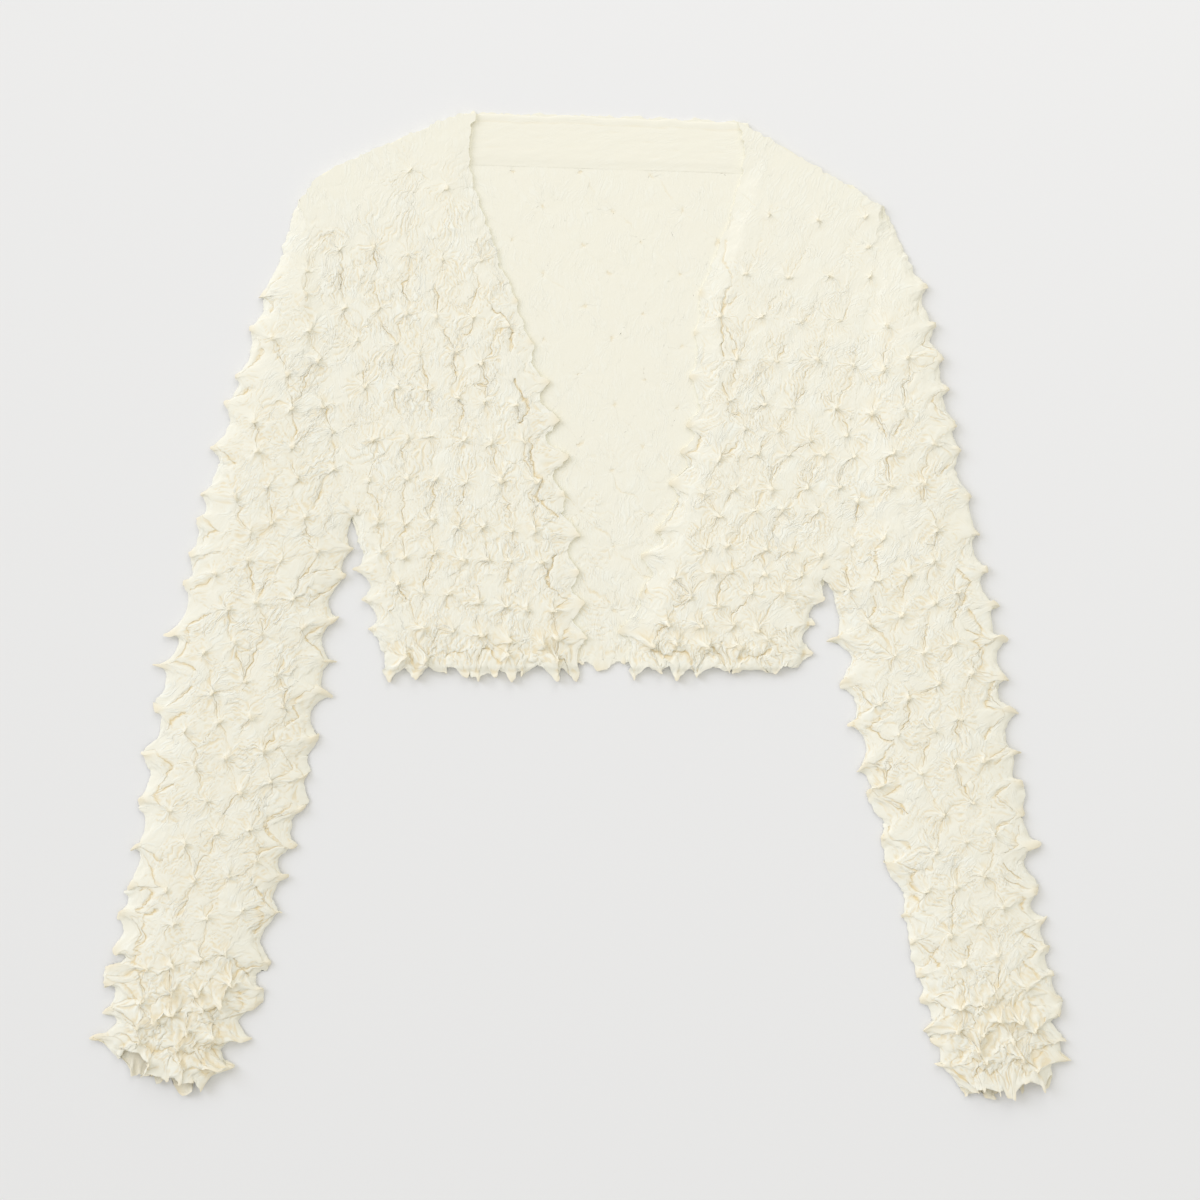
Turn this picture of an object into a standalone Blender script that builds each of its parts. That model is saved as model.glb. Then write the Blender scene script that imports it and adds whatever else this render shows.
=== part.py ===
"""Cropped open cardigan in heat-set thorn pleats, laid flat, front up. Metres, +Z up, +Y to the neck.

Every piece is one closed wall of cloth. The back lies on the surface, the fronts lie on the back,
and each sleeve is one sheet folded along its outer edge. Lengths below are in millimetres.
"""

import bmesh
import bpy
import numpy as np

MM = 0.001

# Cloth.
WALL = 2.4  # pleated cloth, measured straight up through it
LAYER_GAP = 0.4  # between two pieces that lie on each other
SEAM_GAP = 0.4  # between two pieces that are sewn edge to edge
SLEEVE_LOFT = 2.0  # how far the middle of a sleeve's top layer stands off its under layer
BAND_WALL = 1.2  # the smooth band inside the back neck is one plain layer

# Thorns: the tied points of the pleating. They stand in columns on the body and staggered on the sleeves.
THORN = 9.0  # height over the cloth
HOLLOW = 1.6  # the wall at a thorn's point is this many times WALL, because its sides are steep
OUTWARD = 9.0  # how far a thorn on the outline points outward
EDGE_REACH = 4.0  # how far one on a front's free edge or side seam points outward
LOW_THORN = 0.3  # one on the outline rises by this share of THORN
DIMPLE = 1.0  # depth of the pits inside the back, where its own thorns point down
UNEVEN = 0.14  # share by which thorns differ from each other

# Outline of the garment as it lies. Each line runs downward, and a row is (y, x).
SHOULDER_LEFT = (-183, 260)
SHOULDER_RIGHT = (188, 256)
NECK_LEFT = (-72, 316)
NECK_RIGHT = (97, 310)
SHOULDER_RISE = {  # share of the way from neck to shoulder, and how far the cloth bulges above a straight line
    "left": ((0, 0), (0.14, 4.2), (0.33, 6.1), (0.57, 8.0), (0.78, 9.6), (0.9, 7.0), (1, 0)),
    "right": ((0, 0), (1, 0)),
}
HEM_Y = -38
UNDERARM_Y = {"left": 60, "right": 18}
SIDE = {  # armhole, then side seam
    "left": ((260, -183), (209, -169), (132, -161), (60, -150), (30, -141), (1, -135), (-38, -128)),
    "right": ((256, 188), (203, 180), (132, 172), (87, 166), (33, 158), (14, 152), (-5, 148), (-38, 140)),
}
FRONT_EDGE = {  # the open edge of each front
    "left": ((316, -72), (286, -75), (228, -58), (164, -36), (103, -25), (43, -13), (-15, -8), (-38, -5)),
    "right": ((310, 97), (297, 101), (262, 96), (199, 74), (107, 70), (49, 55), (-4, 36), (-38, 27)),
}
SLEEVE_FOLD = {  # outer edge, shoulder to cuff
    "left": ((256, -185), (197, -204), (81, -238), (4, -254), (-53, -266), (-130, -279), (-293, -303)),
    "right": ((252, 193), (215, 208), (119, 229), (-9, 255), (-127, 272), (-207, 285), (-305, 298)),
}
SLEEVE_SEAM = {  # inner edge, underarm to cuff
    "left": ((60, -150), (-15, -169), (-69, -178), (-148, -194), (-226, -212), (-265, -225), (-306, -244)),
    "right": ((18, 153), (-21, 166), (-66, 174), (-138, 193), (-219, 215), (-287, 233), (-314, 240)),
}
SLEEVE_SLANT = {"left": 0.22, "right": 0.14}  # a section drops this much for each mm towards the body
FULL_WIDTH = 60  # a sleeve narrower than this has lower thorns, as at the shoulder
SIDE_THORNS_BELOW = 35  # thorns on the side seam start this far under the underarm
SEAM_THORNS_BELOW = 25  # and those on the sleeve seam this far
BAND_DEPTH = 32  # neck edge to the seam of the band
BAND_INSET = 1.0  # clearance between the band's ends and the fronts' edges

# Mesh steps: two rows of points for each row of thorns, one column for each half pitch.
FRONT_ROWS, FRONT_COLUMNS = 26, 12
BACK_ROWS, BACK_COLUMNS = 14, (4, 7, 4)  # left shoulder, neck, right shoulder
BACK_HEM_COLUMNS = (6, 9)  # where the back's hem shows between the fronts
SLEEVE_ROWS, SLEEVE_TOP, SLEEVE_UNDER = 44, 8, 3
BAND_ROWS, BAND_COLUMNS = 2, 12
PLAIN_EDGE_ROWS = 6  # a front's edge has no thorns this far down from the neck
FIRST_SLEEVE_THORNS = 4  # rows of points above the first thorns of a sleeve
FRONT_CROWDING = 0.25  # rows close up towards the hem by this share

COLOURS = {  # linear RGB, read off the photo as sRGB
    "back": (0.88, 0.84, 0.74),
    "front_left": (0.86, 0.82, 0.69),
    "front_right": (0.86, 0.82, 0.70),
    "sleeve_left": (0.82, 0.79, 0.66),
    "sleeve_right": (0.84, 0.80, 0.67),
    "back_neck_band": (0.88, 0.85, 0.77),
}


def clear_scene():
    for item in list(bpy.data.objects):
        bpy.data.objects.remove(item, do_unlink=True)


def line_x(table, y):
    """x of an outline at y, by a smooth curve through its rows."""
    rows = np.array(sorted(table), float)
    slopes = np.gradient(rows[:, 1], rows[:, 0])
    y = np.clip(y, rows[0, 0], rows[-1, 0])
    k = np.clip(np.searchsorted(rows[:, 0], y) - 1, 0, len(rows) - 2)
    span = rows[k + 1, 0] - rows[k, 0]
    t = (y - rows[k, 0]) / span
    value = rows[k, 1] * (1 + 2 * t) * (1 - t) ** 2 + rows[k + 1, 1] * t * t * (3 - 2 * t)
    return value + span * (slopes[k] * t * (1 - t) ** 2 - slopes[k + 1] * t * t * (1 - t))


def stack(x, y, z):
    return np.stack(np.broadcast_arrays(x, y, z), axis=-1).astype(float)


def thorn_places(rows, columns, first_row=2, last_row=None, first_column=1, last_column=None, shift=0):
    """About 1 where a thorn stands, 0 elsewhere: every other column, moved by shift from row to row."""
    last_row = rows if last_row is None else last_row
    last_column = columns - 1 if last_column is None else last_column
    j, i = np.indices((rows + 1, columns + 1))
    tips = (j % 2 == 0) & ((i + shift * (j // 2)) % 2 == 0)
    tips &= (j >= first_row) & (j <= last_row) & (i >= first_column) & (i <= last_column)
    return tips * (1 + UNEVEN * np.sin(2.1 * i + 3.7 * j))


def cloth_wall(name, outer, inner, tips):
    """One closed wall between two grids of points. outer faces out, and each quad folds beside its thorn."""
    rows, columns = outer.shape[0] - 1, outer.shape[1] - 1
    bm = bmesh.new()
    bmesh.ops.create_grid(bm, x_segments=columns, y_segments=rows, size=0.5)
    raised = bmesh.ops.extrude_face_region(bm, geom=bm.faces[:], use_keep_orig=True)
    is_outer = {item for item in raised["geom"] if isinstance(item, bmesh.types.BMVert)}
    place = {}
    for vertex in bm.verts:
        column = round((vertex.co.x + 0.5) * columns)
        row = round((vertex.co.y + 0.5) * rows)
        place[vertex] = (row, column)
        vertex.co = (outer if vertex in is_outer else inner)[row, column] * MM
    for face in bm.faces[:]:
        corners = face.verts[:]
        if len({place[corner] for corner in corners}) < 4:
            continue
        pairs = (corners[0], corners[2]), (corners[1], corners[3])
        flat = min(pairs, key=lambda pair: sum(tips[place[corner]] for corner in pair))
        bmesh.utils.face_split(face, *flat)
    bmesh.ops.triangulate(bm, faces=bm.faces[:])
    bmesh.ops.recalc_face_normals(bm, faces=bm.faces[:])
    mesh = bpy.data.meshes.new(name)
    bm.to_mesh(mesh)
    bm.free()
    mesh.materials.append(cloth_material(name))
    piece = bpy.data.objects.new(name, mesh)
    bpy.context.collection.objects.link(piece)
    return piece


def cloth_material(name):
    material = bpy.data.materials.new(name + "_cloth")
    material.use_nodes = True
    shader = material.node_tree.nodes["Principled BSDF"]
    shader.inputs["Base Color"].default_value = (*COLOURS[name], 1)
    shader.inputs["Roughness"].default_value = 0.85
    shader.inputs["Metallic"].default_value = 0
    return material


def build_back():
    """The back panel, flat on the surface. Inside, its thorns show as pits."""
    fade = np.linspace(1, 0, BACK_ROWS + 1)[:, None]
    left_y = HEM_Y + (SHOULDER_LEFT[1] - HEM_Y) * fade
    right_y = HEM_Y + (SHOULDER_RIGHT[1] - HEM_Y) * fade
    left, right = line_x(SIDE["left"], left_y), line_x(SIDE["right"], right_y)
    corners = np.array((SHOULDER_LEFT, NECK_LEFT, NECK_RIGHT, SHOULDER_RIGHT), float)
    runs = [np.linspace(corners[k, 0], corners[k + 1, 0], BACK_COLUMNS[k] + 1)[1:] for k in range(3)]
    top_x = np.concatenate([corners[:1, 0], *runs])
    share = (top_x - top_x[0]) / (top_x[-1] - top_x[0])
    rise = np.interp(top_x, *corners.T) - np.interp(share, (0, 1), (left_y[0, 0], right_y[0, 0]))
    from_neck = (NECK_LEFT[0] - top_x) / (NECK_LEFT[0] - SHOULDER_LEFT[0])
    rise = rise + np.interp(from_neck, *zip(*SHOULDER_RISE["left"], strict=True))
    x = left + (right - left) * share
    y = left_y + (right_y - left_y) * share + fade * rise
    tips = thorn_places(BACK_ROWS, len(top_x) - 1, last_row=BACK_ROWS - 1)
    first, last = BACK_HEM_COLUMNS
    hem_tips = thorn_places(
        BACK_ROWS, len(top_x) - 1, first_row=BACK_ROWS, first_column=first, last_column=last
    )
    y = y - OUTWARD * hem_tips
    cloth_wall("back", stack(x, y, WALL - DIMPLE * tips), stack(x, y, 0), tips)


def build_front(hand):
    """One front, from its open edge to the armhole and side seam, lying on the back."""
    t = np.linspace(0, 1, FRONT_ROWS + 1)[:, None]
    t = t * (1 + FRONT_CROWDING) - FRONT_CROWDING * t * t
    neck = NECK_LEFT if hand == "left" else NECK_RIGHT
    shoulder = SHOULDER_LEFT if hand == "left" else SHOULDER_RIGHT
    edge_y = neck[1] + (HEM_Y - neck[1]) * t
    side_y = shoulder[1] + (HEM_Y - shoulder[1]) * t
    edge_x = line_x(FRONT_EDGE[hand], edge_y)
    side_x = line_x(SIDE[hand], side_y)
    across = np.linspace(0, 1, FRONT_COLUMNS + 1)
    row, column = np.indices((FRONT_ROWS + 1, FRONT_COLUMNS + 1))
    at_edge, at_hem = column == 0, row == FRONT_ROWS
    at_side = (column == FRONT_COLUMNS) & (side_y < UNDERARM_Y[hand] - SIDE_THORNS_BELOW) & ~at_hem

    tips = thorn_places(FRONT_ROWS, FRONT_COLUMNS, first_column=0, last_column=FRONT_COLUMNS)
    tips = np.where(at_edge & (row < PLAIN_EDGE_ROWS), 0, tips)
    tips = np.where((column == FRONT_COLUMNS) & ~at_side, 0, tips)
    to_centre = np.sign(edge_x - side_x)
    x = edge_x + (side_x - edge_x) * across + EDGE_REACH * tips * to_centre * (at_edge * 1.0 - at_side)
    rise = np.interp(across, *zip(*SHOULDER_RISE[hand], strict=True)) * (1 - t)
    y = edge_y + (side_y - edge_y) * across + rise - OUTWARD * tips * at_hem

    bottom = WALL + LAYER_GAP
    lift = THORN * tips * np.where(at_edge | at_hem | at_side, LOW_THORN, 1)
    over = bottom + WALL + lift
    under = bottom + lift - hollow_of(lift)
    cloth_wall("front_" + hand, stack(x, y, over), stack(x, y, under), tips)


def hollow_of(lift):
    """How much lower the inner face of a thorn stays, because its wall is steep."""
    return (HOLLOW - 1) * WALL * (lift > 0.5 * THORN)


def build_sleeve(hand):
    """One sheet folded along the outer edge. It is open at the armhole and the cuff."""
    fold_y = np.linspace(SLEEVE_FOLD[hand][0][0], SLEEVE_FOLD[hand][-1][0], SLEEVE_ROWS + 1)[:, None]
    fold_x = line_x(SLEEVE_FOLD[hand], fold_y)
    outward = -1 if hand == "left" else 1
    seam_y = fold_y - SLEEVE_SLANT[hand] * abs(inner_line(hand, fold_y) - fold_x)
    seam_x = inner_line(hand, seam_y) + SEAM_GAP * outward

    # Columns run from the seam over the top, round the fold and back beneath.
    over = np.linspace(0, 1, SLEEVE_TOP + 1)
    across = np.concatenate([over, [1], np.linspace(1, 0, SLEEVE_UNDER + 1)])
    x = seam_x + (fold_x - seam_x) * across
    y = seam_y + (fold_y - seam_y) * across
    row, column = np.indices((SLEEVE_ROWS + 1, len(across)))
    at_seam, at_fold, beneath = column == 0, column == SLEEVE_TOP + 1, column > SLEEVE_TOP + 1
    at_cuff = row == SLEEVE_ROWS

    # A row of thorns has one on the fold and one on the seam, below the underarm.
    tips = thorn_places(SLEEVE_ROWS, len(across) - 1, first_row=FIRST_SLEEVE_THORNS, shift=1)
    on_rim = thorn_places(SLEEVE_ROWS, len(across) - 1, first_row=FIRST_SLEEVE_THORNS, first_column=0)
    below_underarm = seam_y < UNDERARM_Y[hand] - SEAM_THORNS_BELOW
    rim = (at_seam & below_underarm) | at_fold | (at_cuff & ~beneath)
    inside = (column > 0) & (column < SLEEVE_TOP)
    tips = np.where(rim, abs(on_rim[:, :1]), np.where(inside, tips, 0))
    tips = np.where(at_cuff & (column % 2 == 1), 0, tips)

    width = np.clip(abs(fold_x - seam_x) / FULL_WIDTH, 0, 1)
    top = 2 * WALL + LAYER_GAP + SLEEVE_LOFT * width * np.sin(np.pi * across)
    middle = WALL + LAYER_GAP / 2
    lift = THORN * tips * width * np.where(rim, LOW_THORN, 1)
    outer_z = np.where(beneath, 0, np.where(at_fold, middle, top) + lift)
    inner_z = np.where(beneath, WALL, np.where(at_fold, middle, top - WALL - hollow_of(lift)) + lift)
    sideways = OUTWARD * tips * outward * (at_fold * 1.0 - at_seam)
    outer_x = x + outward * WALL * at_fold + sideways
    inner_x = x + outward * LAYER_GAP / 2 * at_fold + sideways
    y = y - OUTWARD * tips * at_cuff
    cloth_wall("sleeve_" + hand, stack(outer_x, y, outer_z), stack(inner_x, y, inner_z), tips)


def inner_line(hand, y):
    """The sleeve's inner edge: the armhole down to the underarm, then its own seam."""
    return np.where(y > UNDERARM_Y[hand], line_x(SIDE[hand], y), line_x(SLEEVE_SEAM[hand], y))


def build_neck_band():
    """The smooth band sewn inside the back neck, between the two fronts."""
    drop = np.linspace(0, BAND_DEPTH, BAND_ROWS + 1)[:, None]
    share = np.linspace(0, 1, BAND_COLUMNS + 1)
    y = NECK_LEFT[1] + (NECK_RIGHT[1] - NECK_LEFT[1]) * share - drop
    left = line_x(FRONT_EDGE["left"], NECK_LEFT[1] - drop) + BAND_INSET
    x = left + (NECK_RIGHT[0] - BAND_INSET - left) * share
    bottom = WALL + LAYER_GAP
    plain = np.zeros_like(y)
    cloth_wall("back_neck_band", stack(x, y, bottom + BAND_WALL), stack(x, y, bottom), plain)


def main():
    clear_scene()
    build_back()
    build_neck_band()
    for hand in ("left", "right"):
        build_front(hand)
        build_sleeve(hand)


main()
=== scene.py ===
"""Looks of the cropped cardigan: ivory crepe, heat-set in thorn pleats, laid flat, front up.

Every piece is one closed skin of cloth. A fine grid is laid in the piece's outline, gathered to its thorns,
drawn up to their tips and pleated between them. Lengths are in millimetres until a mesh is made.
"""

import bmesh
import bpy
import numpy as np
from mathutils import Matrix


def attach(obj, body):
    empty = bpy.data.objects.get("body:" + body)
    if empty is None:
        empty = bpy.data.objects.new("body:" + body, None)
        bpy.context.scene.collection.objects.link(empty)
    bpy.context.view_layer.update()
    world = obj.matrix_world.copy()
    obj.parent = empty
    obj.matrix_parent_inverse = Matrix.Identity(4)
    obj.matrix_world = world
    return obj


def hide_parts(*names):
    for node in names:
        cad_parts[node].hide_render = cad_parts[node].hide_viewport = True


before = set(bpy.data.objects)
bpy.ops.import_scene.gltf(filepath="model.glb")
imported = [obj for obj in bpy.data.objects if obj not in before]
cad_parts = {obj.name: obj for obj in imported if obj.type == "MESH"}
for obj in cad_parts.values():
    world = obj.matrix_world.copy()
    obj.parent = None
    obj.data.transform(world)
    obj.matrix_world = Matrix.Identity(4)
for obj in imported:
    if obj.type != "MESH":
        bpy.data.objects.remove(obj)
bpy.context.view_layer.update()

MM = 0.001

# The garment's outline as it lies, close to the CAD's. SHOULDER and NECK are points, (x, y). The others are
# lines that run downward, in rows of (y, x).
SHOULDER = {"left": (-183, 260), "right": (188, 256)}
NECK = {"left": (-72, 316), "right": (97, 310)}
# How far a shoulder bulges above a straight line: (share of the way out from the neck, rise).
SHOULDER_RISE = {
    "left": ((0, 0), (0.14, 4.2), (0.33, 6.1), (0.57, 8.0), (0.78, 9.6), (0.9, 7.0), (1, 0)),
    "right": ((0, 0), (1, 0)),
}
HEM_Y = -38
UNDERARM_Y = {"left": 60, "right": 18}
SIDE = {
    "left": ((260, -183), (209, -169), (132, -161), (60, -150), (30, -141), (1, -135), (-38, -128)),
    "right": ((256, 188), (203, 180), (132, 172), (87, 166), (33, 158), (18, 152), (5, 144), (-38, 134)),
}
FRONT_EDGE = {
    "left": ((316, -72), (286, -75), (228, -58), (164, -36), (103, -25), (43, -13), (-15, -8), (-38, -5)),
    "right": ((310, 97), (297, 101), (262, 96), (199, 74), (107, 70), (49, 52), (-4, 34), (-38, 26)),
}
# A crease runs down the whole right front: along its open edge at the neck, then inside it.
LONG_CREASE = ((262, 93), (196, 88), (125, 85), (107, 76), (90, 67), (56, 56), (35, 44), (-6, 39))
SLEEVE_FOLD = {
    "left": ((260, -184), (197, -204), (81, -238), (4, -254), (-53, -266), (-130, -279), (-288, -302)),
    "right": ((256, 190), (215, 208), (119, 229), (-9, 255), (-127, 272), (-207, 285), (-298, 297)),
}
SLEEVE_SEAM = {
    "left": ((60, -150), (-15, -169), (-69, -178), (-148, -194), (-226, -212), (-265, -225), (-301, -242)),
    "right": ((18, 153), (-21, 166), (-66, 174), (-138, 193), (-219, 215), (-287, 233), (-307, 238)),
}
SLEEVE_SLANT = {"left": 0.22, "right": 0.14}  # a sleeve's section drops this much per mm towards the body
BAND_SIZE = (170, 32)
OUTWARD = {"left": -1, "right": 1}

# Layers, from the surface up.
BACK_TOP = 1.5
BAND_BOTTOM = 1.55
BAND_TOP = 2.1
FRONT_BOTTOM = 1.6
FRONT_TOP = 4.6
EDGE_TOP = {"left": 3.1, "right": 2.7}  # of a front along its open edge, where it lies on the back
SEAM_TOP = 2.9  # of a sleeve's edge along its seam
FOLD_TOP = {"left": 2.9, "right": 3.8}  # and along its fold, which stands higher on the right
UNDERARM_TOP = 2.8
SLEEVE_TOP = 7.0
CLOTH = 1.0  # one layer of crepe with its fine crinkle
SEAM_GAP = 0.3
LIP = 1.1  # how far a sleeve's edge lies over the front
CLOTH_DOME = 0.36  # how far the cloth stands up between two long creases
BACK_DOME = 0.5  # the same on the back, before it is drawn flat

# The cloth is drawn flat at the shoulders. CALM is the y where that is strongest and where it ends.
CALM = {"left": (300, 225), "right": (240, 130)}
CALM_RELIEF = 0.3  # the share of the relief that is left there
CALM_FINE = 0.35  # and that of the fine creases' depth

# Seeds, one for each set of random draws.
THORN_SEED = {"left": 11, "right": 12}
EDGE_CREASE_SEED = {"left": 21, "right": 22}
SLEEVE_CREASE_SEED = {"left": 23, "right": 24}
CLOTH_SEED = {"left": 100, "right": 200}
BACK_THORN_SEED, BACK_SEED, BAND_SEED = 31, 300, 40

# How far the fine creases of the open cloth lean to the right of upright, in degrees.
FRONT_TILT = {"left": 3, "right": 25}
SLEEVE_TILT = {"left": 42, "right": 30}
BACK_TILT, BAND_TILT = 0, 80

# Thorns: (y, x of the row's first one, pitch, drop from one to the next). The left front's stand in
# columns, and each row of the right front's is moved half a pitch from the one above.
THORN_ROWS = {
    "left": (
        (277, -113, 23, 9), (231, -157, 22, 2.5), (192, -155, 20.5, 2.5), (169, -146, 20.5, 2.5),
        (141, -141, 19, 2.5), (109, -136, 19, 1), (84, -137, 20, 1), (58, -134, 17, 1.5),
        (34, -131, 16.6, 1), (13, -123, 17, 2.5), (-13, -125, 18.2, 1), (-31, -120, 16, 0),
    ),
    "right": (
        (249, 117, 32, 0), (213, 101, 27, 1), (187, 88, 24, 2), (159, 97, 24, 2.5), (133, 88, 23.5, 2),
        (114, 78, 22, 1), (98, 87, 21, 0), (78, 75, 21, 1), (60, 84, 21, 0), (38, 74, 19, 1),
        (21, 58, 19, 0), (6, 65, 20, 0), (-9, 50, 20, 0), (-23, 38, 19, 0), (-33, 48, 18, 0),
    ),
}


def line_x(table, y):
    """x of an outline at y, by a smooth curve through its rows."""
    rows = np.array(sorted(table), float)
    slopes = np.gradient(rows[:, 1], rows[:, 0])
    y = np.clip(y, rows[0, 0], rows[-1, 0])
    k = np.clip(np.searchsorted(rows[:, 0], y) - 1, 0, len(rows) - 2)
    span = rows[k + 1, 0] - rows[k, 0]
    t = (y - rows[k, 0]) / span
    value = rows[k, 1] * (1 + 2 * t) * (1 - t) ** 2 + rows[k + 1, 1] * t * t * (3 - 2 * t)
    return value + span * (slopes[k] * t * (1 - t) ** 2 - slopes[k + 1] * t * t * (1 - t))


def smooth(start, stop, value):
    """0 before start, 1 past stop, and an easy curve between. stop may be less than start."""
    t = np.clip((value - start) / (stop - start), 0, 1)
    return t * t * (3 - 2 * t)


def calm(hand, y):
    """How much of their relief the pleats show: less near the shoulders, where the cloth is drawn flat."""
    return CALM_RELIEF + (1 - CALM_RELIEF) * smooth(*CALM[hand], y)


def ripple(x, y, size, seed, waves=12):
    """Even, irregular waves about size long, mostly from -1 to 1."""
    draw = np.random.default_rng(seed)
    total = np.zeros(np.broadcast(x, y).shape)
    for _ in range(waves):
        turn = draw.uniform(0, 2 * np.pi)
        length = size * draw.uniform(0.7, 1.5)
        start = draw.uniform(0, 2 * np.pi)
        total += np.sin((x * np.cos(turn) + y * np.sin(turn)) * 2 * np.pi / length + start)
    return total / np.sqrt(waves)


def blur(field, reach):
    """A field averaged over squares of about 2 x reach points, twice."""
    for _ in range(2):
        for axis in (0, 1):
            padding = [(0, 0), (0, 0)]
            padding[axis] = (reach + 1, reach)
            sums = np.cumsum(np.pad(field, padding, mode="edge"), axis=axis)
            high = np.take(sums, range(2 * reach + 1, sums.shape[axis]), axis=axis)
            low = np.take(sums, range(0, sums.shape[axis] - 2 * reach - 1), axis=axis)
            field = (high - low) / (2 * reach + 1)
    return field


# --- Thorns ---

THORN_VALUES = ("x", "y", "reach", "height", "lean_x", "lean_y", "way", "over", "under", "pull")
THORN_FIELDS = [(name, float) for name in THORN_VALUES]
OVER = THORN_VALUES.index("over")

# Where the cloth within a thorn's reach goes: (share of the reach, new share of the reach).
GATHERED = (
    (0, 0), (0.1, 0.075), (0.2, 0.09), (0.3, 0.115), (0.4, 0.17), (0.52, 0.29), (0.66, 0.48), (0.82, 0.74),
    (1, 1),
)
# How far it rises: (share of the reach, share of the height).
RISEN = (
    (0, 1), (0.1, 0.97), (0.2, 0.83), (0.3, 0.62), (0.4, 0.43), (0.52, 0.26), (0.66, 0.12), (0.82, 0.04),
    (1, 0),
)
# How far it is drawn aside towards a leaning tip: (share of the reach, share of the lean). Wider than its
# rise, so a thorn on an edge stands out as a web.
DRAWN = ((0, 1), (0.08, 0.95), (0.3, 0.7), (0.6, 0.36), (0.85, 0.1), (1, 0))


def thorn(x, y, reach, height, lean, row, over=1, under=0, pull=1):
    """One thorn. over and under say how much of its height the upper and the lower layer take."""
    return (x, y, reach, height, lean[0], lean[1], 1 - 2 * (row % 2), over, under, pull)


def press_thorns(x, y, thorns, layer="over"):
    """Gathers the cloth at (x, y) to its thorns. Returns the new x and y, the lift and how gathered it is."""
    new_x, new_y = x.copy(), y.copy()
    lift, gathered = np.zeros_like(x), np.zeros_like(x)
    for t in thorns[thorns[layer] > 0]:
        near = (abs(x - t["x"]) < t["reach"]) & (abs(y - t["y"]) < t["reach"])
        dx, dy = x[near] - t["x"], y[near] - t["y"]
        turn = np.arctan2(dy, dx)
        uneven = 1 + 0.10 * np.cos(3 * turn + t["x"]) + 0.08 * np.cos(2 * turn + t["y"])
        share = np.clip(np.hypot(dx, dy) / t["reach"] * uneven, 1e-6, 1)
        pull = t["pull"] * np.where(share < 1, line_x(GATHERED, share) / share - 1, 0)
        rise = line_x(RISEN, share)
        drawn = line_x(DRAWN, share)
        new_x[near] += dx * pull + t["lean_x"] * drawn
        new_y[near] += dy * pull + t["lean_y"] * drawn
        lift[near] += t["height"] * rise * t[layer]
        gathered[near] = np.maximum(gathered[near], 1 - share)
    return new_x, new_y, lift, gathered


def field_lines(x, y, thorns):
    """The pleats' turn at (x, y) as a unit complex number, the way along them, and how fast they turn.

    Pleats run like field lines, out of the thorns with a way of 1 and into those with a way of -1.
    """
    at = x + 1j * y
    turn = np.ones_like(at)
    slope = np.zeros_like(at)
    along = np.zeros(x.shape)
    for t in thorns:
        away = at - (t["x"] + 1j * t["y"])
        size = np.maximum(abs(away), 0.3)
        unit = away / size
        turn = turn * (unit if t["way"] > 0 else np.conj(unit))
        slope = slope + t["way"] * np.conj(unit) / size
        along = along + t["way"] * np.log(size)
    return turn, along, abs(slope)


def warp(x, y, seed):
    """Bends straight creases into wavy ones."""
    bent_x = x + 1.3 * ripple(x, y, 17, seed) + 0.45 * ripple(x, y, 7, seed + 1)
    return bent_x, y + 1.5 * ripple(x, y, 19, seed + 2)


LINK_REACH, LINK_SIDE = 8, 30  # how far above and below a link it counts, and how far beside its middle


def link_distance(x, y, links):
    """How far (x, y) is from the nearest link between thorns, less than 0 on its left as it runs."""
    closest = np.full(x.shape, 1e3)
    for ax, ay, bx, by in links:
        near = (y < max(ay, by) + LINK_REACH) & (y > min(ay, by) - LINK_REACH)
        near &= abs(x - (ax + bx) / 2) < LINK_SIDE
        px, py = x[near] - ax, y[near] - ay
        dx, dy = bx - ax, by - ay
        t = np.clip((px * dx + py * dy) / (dx * dx + dy * dy), 0, 1)
        far = np.hypot(px - dx * t, py - dy * t) * np.where(px * dy > py * dx, 1, -1)
        closest[near] = np.where(abs(far) < abs(closest[near]), far, closest[near])
    return closest


def link_rows(thorns, lean_x, far=34, least=8, spare=20):
    """Each thorn's link to the nearest one below it, along a line that leans lean_x over far."""
    links = []
    for t in thorns:
        below = thorns[(thorns["y"] < t["y"] - least) & (thorns["y"] > t["y"] - far - spare)]
        if not len(below):
            continue
        drop = (t["y"] - below["y"]) / far
        miss = np.hypot(below["x"] - t["x"] - lean_x * drop, 0.8 * (t["y"] - below["y"]))
        best = below[np.argmin(miss)]
        if miss.min() < far:
            links.append((t["x"], t["y"], best["x"], best["y"]))
    return links


# Sizes of thorns: at the shoulder, what is added low down, and what is added near the hem or the cuff.
FRONT_HEIGHT = (1.6, 1.4, 2)
FRONT_REACH = (8.5, -0.8, 0)
FRONT_LEAN = (0.6, 1.6, 3.5)
FRONT_EDGE_HEIGHT = (0.5, 0.9, 0)
FRONT_EDGE_REACH = (9, 2, 0)
FRONT_EDGE_LEAN = (2.5, 6, 0)
SLEEVE_REACH = (9.5, 0, -1)
SLEEVE_EDGE_REACH = (11.5, 2, -3.5)
SLEEVE_APART = (15, 0, -6)  # the least distance between two
REACH_ROOM = 0.5  # between their reach and the sleeve's edge

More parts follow.
